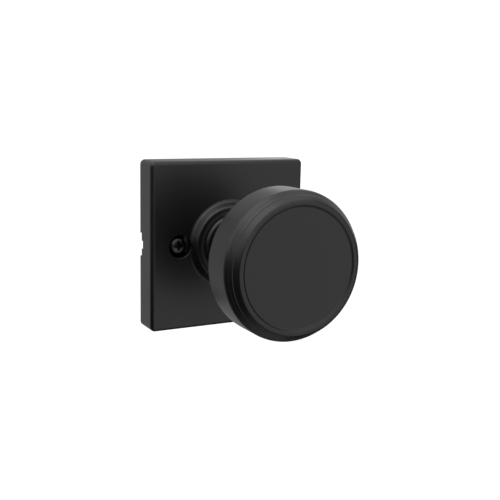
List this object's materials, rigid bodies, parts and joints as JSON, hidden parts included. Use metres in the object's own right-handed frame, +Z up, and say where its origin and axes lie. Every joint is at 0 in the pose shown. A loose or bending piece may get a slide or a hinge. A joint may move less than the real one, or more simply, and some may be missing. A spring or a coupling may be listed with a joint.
{
  "type": "door knob",
  "caption": "Round stepped door knob on a square rose, with a return spring, a square spindle and through screws.",
  "frame": {"origin": "on the knob's axis, at the back face of the rose, which is the door's surface", "axes": "+Z up, +Y into the door along the spindle, +X to the right as one faces the knob"},
  "size_m": [0.0666, 0.1106, 0.0666],
  "materials": {
    "satin_black": "satin black powder coat",
    "black_oxide_steel": "black oxide",
    "black_nylon": "moulded",
    "zinc_plated_steel": "zinc plated",
    "spring_steel": "oiled",
    "cast_zinc": "as cast"
  },
  "bodies": {
    "rose": {"rose_cover": "satin_black", "mounting_plate": "black_oxide_steel", "screw_posts": "black_oxide_steel", "fixing_screws": "black_oxide_steel", "spring_cage": "zinc_plated_steel", "cage_rivets": "zinc_plated_steel", "return_spring": "spring_steel", "hub_bush": "black_nylon", "rose_clips": "spring_steel", "thrust_washer": "zinc_plated_steel"},
    "knob": {"knob_shell": "satin_black", "knob_face": "satin_black", "knob_back": "satin_black", "knob_core": "cast_zinc", "shank_sleeve": "zinc_plated_steel", "spring_driver": "zinc_plated_steel", "spring_washer": "spring_steel", "snap_ring": "spring_steel", "spindle": "zinc_plated_steel", "spindle_pin": "zinc_plated_steel"}
  },
  "joints": [
    {"name": "knob_turn", "type": "hinge", "parent": "rose", "child": "knob", "pos_m": [0, 0, 0], "axis": [0, -1, 0], "range_deg": [-55, 55], "stiffness_Nm_per_rad": 0.25, "deforming": ["return_spring"]}
  ]
}
